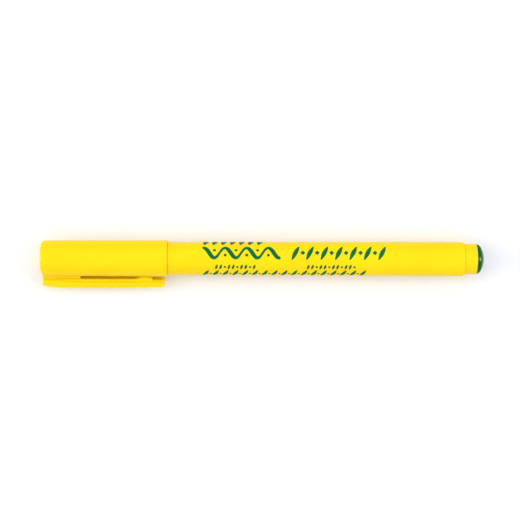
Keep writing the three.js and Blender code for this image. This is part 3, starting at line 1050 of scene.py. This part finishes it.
def wave(bm, start, end, around, rise, periods, thin, thick):
    """A running wave, thick where it falls and thin where it climbs, as a broad pen draws it."""
    turns = 2 * math.pi * periods
    mark(
        bm,
        lambda part: (start + (end - start) * part, around + rise * math.cos(turns * part)),
        lambda part: thin + (thick - thin) * (0.5 + 0.5 * math.sin(turns * part)),
        steps=round(28 * periods),
    )


print("marks: dab, dot, diamond, wave")

# %% Main row
MAIN_AROUND = 1.85
WAVE_START = 50.0
WAVE_END = 73.0
HALF_WAVE = 3.286
DOT_SHIFT = 0.8
DABS_START = 78.0
DABS_STEP = 4.4

main_row = bmesh.new()
wave(main_row, WAVE_START, WAVE_END, MAIN_AROUND, rise=1.65, periods=3.5, thin=0.75, thick=1.30)
for step in range(1, 7):
    shift = DOT_SHIFT if step % 2 else -DOT_SHIFT
    dot(main_row, WAVE_START + HALF_WAVE * step, MAIN_AROUND + shift, size=0.9)
for step in range(7):
    dab(main_row, DABS_START + DABS_STEP * step, MAIN_AROUND, tall=4.0, lean=2.0, wide=1.35)
for step in range(6):
    diamond(main_row, DABS_START + DABS_STEP * (step + 0.5), MAIN_AROUND, size=1.5)
main_print = shown("print_main_row", main_row, print_ink.material)
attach(main_print, "barrel")

# %% Small rows, lower row and upper row
SMALL_AROUND = -2.7
LOWER_AROUND = -5.6
UPPER_AROUND = 6.7
SMALL_STEP = 1.28
SIDE_START = 50.6
LOWER_STEP = 3.0
UPPER_STEP = 2.75

small_rows = bmesh.new()
for start, count in ((53.9, 10), (81.9, 12)):
    for step in range(count):
        along = start + SMALL_STEP * step
        if step % 3 == 2:
            dot(small_rows, along, SMALL_AROUND, size=0.7)
        else:
            dab(small_rows, along, SMALL_AROUND, tall=1.45, lean=0.5, wide=0.75)
small_print = shown("print_small_rows", small_rows, print_ink.material)
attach(small_print, "barrel")

side_rows = bmesh.new()
for step in range(17):
    dab(side_rows, SIDE_START + LOWER_STEP * step, LOWER_AROUND, tall=3.0, lean=1.6, wide=1.15)
for step in range(16):
    diamond(side_rows, SIDE_START + LOWER_STEP * (step + 0.5), LOWER_AROUND, size=0.9)
for step in range(7):
    dab(side_rows, SIDE_START + UPPER_STEP * step, UPPER_AROUND, tall=3.2, lean=0.8, wide=1.7)
side_print = shown("print_side_rows", side_rows, print_ink.material)
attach(side_print, "barrel")

# %% [markdown]
# ## The table
# The pen lies on a plain white table, a little cool in tone, because yellow plastic throws warm
# light on whatever is next to it. A faint drift in the white keeps it from looking computed.

# %% Table
TABLE_SIZE = 2.0
TABLE_WHITE = (0.88, 0.895, 0.95, 1.0)
DEEPER_WHITE = (0.865, 0.88, 0.94, 1.0)

table_finish = Finish("table", roughness=0.65, specular_ior_level=0.2)
table_drift = table_finish.noise(40.0, detail=2.0)
table_finish.link("Base Color", table_finish.blended(table_drift, DEEPER_WHITE, TABLE_WHITE))
table_bm = bmesh.new()
bmesh.ops.create_grid(table_bm, x_segments=1, y_segments=1, size=TABLE_SIZE / 2)
table_mesh = bpy.data.meshes.new("table")
table_bm.to_mesh(table_mesh)
table_bm.free()
table_mesh.materials.append(table_finish.material)
table = bpy.data.objects.new("table", table_mesh)
bpy.context.scene.collection.objects.link(table)
print("table is", TABLE_SIZE, "m wide")

# %% [markdown]
# ## The light
# A large soft light leans to the far side, so the pen's highlight is broad and its shadow falls to
# the near side. A weaker one fills from the near side, and one beyond each end keeps the shadow
# soft along the pen. Large lights leave polished corners dull, so each end also has a small lamp
# that only shows as a glint: it is kept from lighting rough surfaces. The white room fills the
# rest. It is dim as a light but bright to the camera, so whatever lies beyond the table is white.
# Seen from above, the table is slightly overexposed, which leaves nothing of it but the soft
# shadow by the pen. In low views its far part is beyond the lights and fades to grey.

# %% Lights
WORLD_STRENGTH = 0.40
END_DISTANCE = 0.90
END_HEIGHT = 0.45


def softbox(name, spot, size, power):
    """A rectangular area light that looks at the pen and isn't seen itself."""
    data = bpy.data.lights.new(name, "AREA")
    data.shape = "RECTANGLE"
    data.size, data.size_y = size
    data.energy = power
    light = bpy.data.objects.new(name, data)
    bpy.context.scene.collection.objects.link(light)
    light.location = spot
    light.rotation_euler = (-Vector(spot)).to_track_quat("-Z", "Y").to_euler()
    light.visible_camera = False
    return light


softbox("key_softbox", (0.0, 0.50, 0.80), (1.6, 1.1), 5.2)
softbox("near_softbox", (0.0, -0.60, 0.70), (1.2, 0.6), 2.3)
for side, name in ((-1, "cap_end_softbox"), (1, "tail_end_softbox")):
    softbox(name, (END_DISTANCE * side, 0.0, END_HEIGHT), (0.5, 1.0), 4.5)
for side, name in ((-1, "cap_end_glint"), (1, "tail_end_glint")):
    glint = softbox(name, (END_DISTANCE * side, 0.0, END_HEIGHT), (0.12, 0.12), 20.0)
    glint.visible_diffuse = False
world = bpy.data.worlds.new("white_room")
world.use_nodes = True
room = world.node_tree.nodes["Background"]
room.inputs["Color"].default_value = (1.0, 1.0, 1.0, 1.0)
seen = Signal(world.node_tree.nodes.new("ShaderNodeLightPath").outputs["Is Camera Ray"])
brightness = WORLD_STRENGTH + (1.0 - WORLD_STRENGTH) * seen
world.node_tree.links.new(brightness.socket, room.inputs["Strength"])
bpy.context.scene.world = world
bpy.context.scene.view_settings.view_transform = "Standard"
